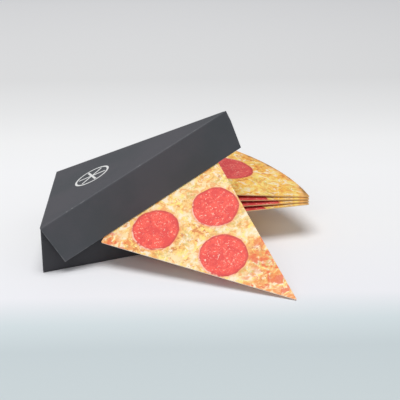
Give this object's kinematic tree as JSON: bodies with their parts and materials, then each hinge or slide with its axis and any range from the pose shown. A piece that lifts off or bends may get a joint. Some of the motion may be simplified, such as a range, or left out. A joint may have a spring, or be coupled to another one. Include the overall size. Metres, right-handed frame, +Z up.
{
  "type": "pizza slice box",
  "caption": "Three-sided folded card box with a hinged lid and deep flaps, holding flat printed card slices fanned out of both sides.",
  "frame": {"origin": "on the table under the middle of the tray's floor, one third of the box's length from its crust wall", "axes": "+X from the crust wall to the box's point, +Y to the far side, +Z up"},
  "size_m": [0.2663, 0.2857, 0.1338],
  "materials": {
    "tray_card": "matt charcoal printed carton board",
    "lid_card": "matt charcoal printed carton board",
    "front_print": "satin print on white card",
    "rear_print": "satin print on white card"
  },
  "bodies": {
    "tray_body": {"base_tray": "tray_card", "front_slice": "front_print", "rear_slice_1": "rear_print", "rear_slice_2": "rear_print", "rear_slice_3": "rear_print", "rear_slice_4": "rear_print"},
    "lid_body": {"lid": "lid_card"}
  },
  "joints": [
    {"name": "lid_crease", "type": "hinge", "parent": "tray_body", "child": "lid_body", "pos_m": [-0.06667, 0, 0.0446], "axis": [0, -1, 0], "range_deg": [0, 150]}
  ]
}
